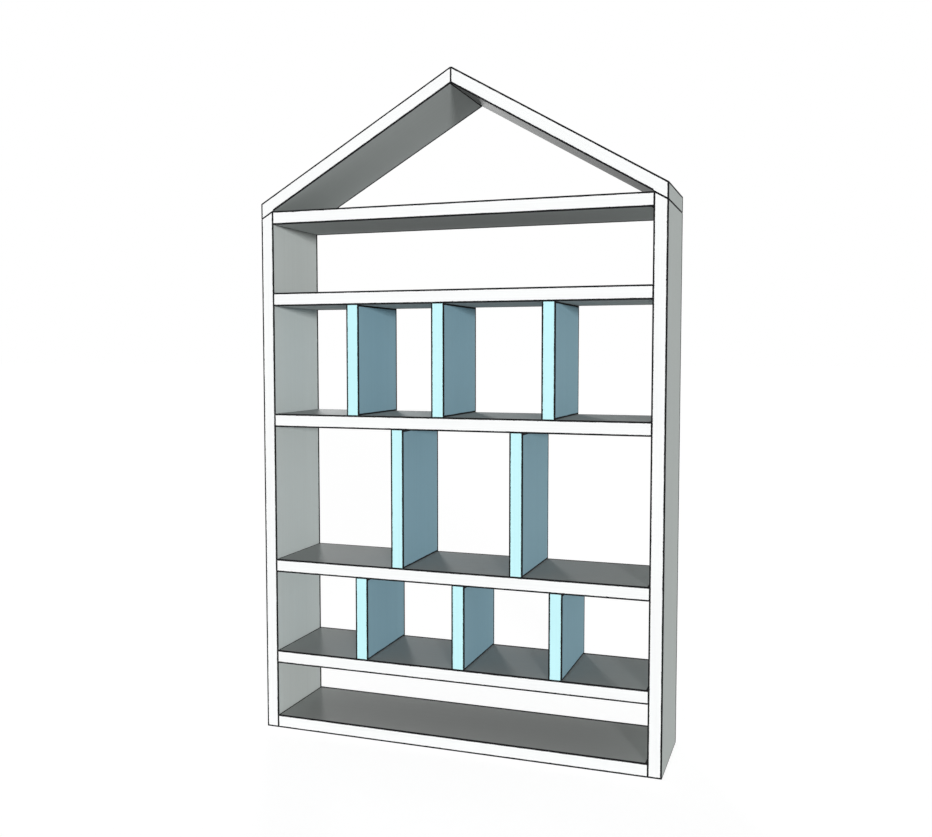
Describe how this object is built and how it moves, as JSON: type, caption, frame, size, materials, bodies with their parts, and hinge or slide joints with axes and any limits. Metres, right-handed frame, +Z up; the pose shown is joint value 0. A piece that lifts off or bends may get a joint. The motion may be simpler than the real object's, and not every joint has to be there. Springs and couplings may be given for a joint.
{
  "type": "house-shaped wall shelf",
  "caption": "Open-backed wall shelf in the outline of a house, with a pitched roof, stacked boards and staggered upright dividers.",
  "frame": {"origin": "centre of the footprint, on the underside that it stands on", "axes": "+X to the viewer's right, +Y towards the wall behind it, +Z up"},
  "size_m": [0.381, 0.0916, 0.6123],
  "materials": {
    "side_paint": "brushed matte furniture paint on 12.7 mm board: white front and rear edges, pale grey faces, arrises rubbed back to a dark undercoat",
    "roof_paint": "the same paint: white edges, mid grey faces, dark rubbed arrises",
    "shelf_paint": "the same paint: white edges, mid grey faces, dark rubbed arrises",
    "divider_paint": "the same paint in pale aqua on the edges and slate aqua on the faces, dark rubbed arrises",
    "nail_filler": "fine filler over the nail heads, sanded flush and painted over",
    "brad_steel": "bright drawn steel wire",
    "hanger_steel": "zinc-plated pressed steel strip"
  },
  "bodies": {
    "root": {"left_side": "side_paint", "right_side": "side_paint", "left_roof_board": "roof_paint", "right_roof_board": "roof_paint", "attic_floor": "shelf_paint", "top_shelf": "shelf_paint", "second_shelf": "shelf_paint", "third_shelf": "shelf_paint", "fourth_shelf": "shelf_paint", "bottom_board": "shelf_paint", "upper_divider_left": "divider_paint", "upper_divider_middle": "divider_paint", "upper_divider_right": "divider_paint", "middle_divider_left": "divider_paint", "middle_divider_right": "divider_paint", "lower_divider_left": "divider_paint", "lower_divider_middle": "divider_paint", "lower_divider_right": "divider_paint", "left_side_brads": "brad_steel", "right_side_brads": "brad_steel", "roof_eave_brads": "brad_steel", "ridge_brads": "brad_steel", "upper_divider_brads": "brad_steel", "middle_divider_brads": "brad_steel", "lower_divider_brads": "brad_steel", "left_side_nail_filler": "nail_filler", "right_side_nail_filler": "nail_filler", "roof_nail_filler": "nail_filler", "shelf_nail_filler": "nail_filler", "sawtooth_hanger_left": "hanger_steel", "sawtooth_hanger_right": "hanger_steel", "hanger_pins": "hanger_steel"}
  },
  "joints": []
}
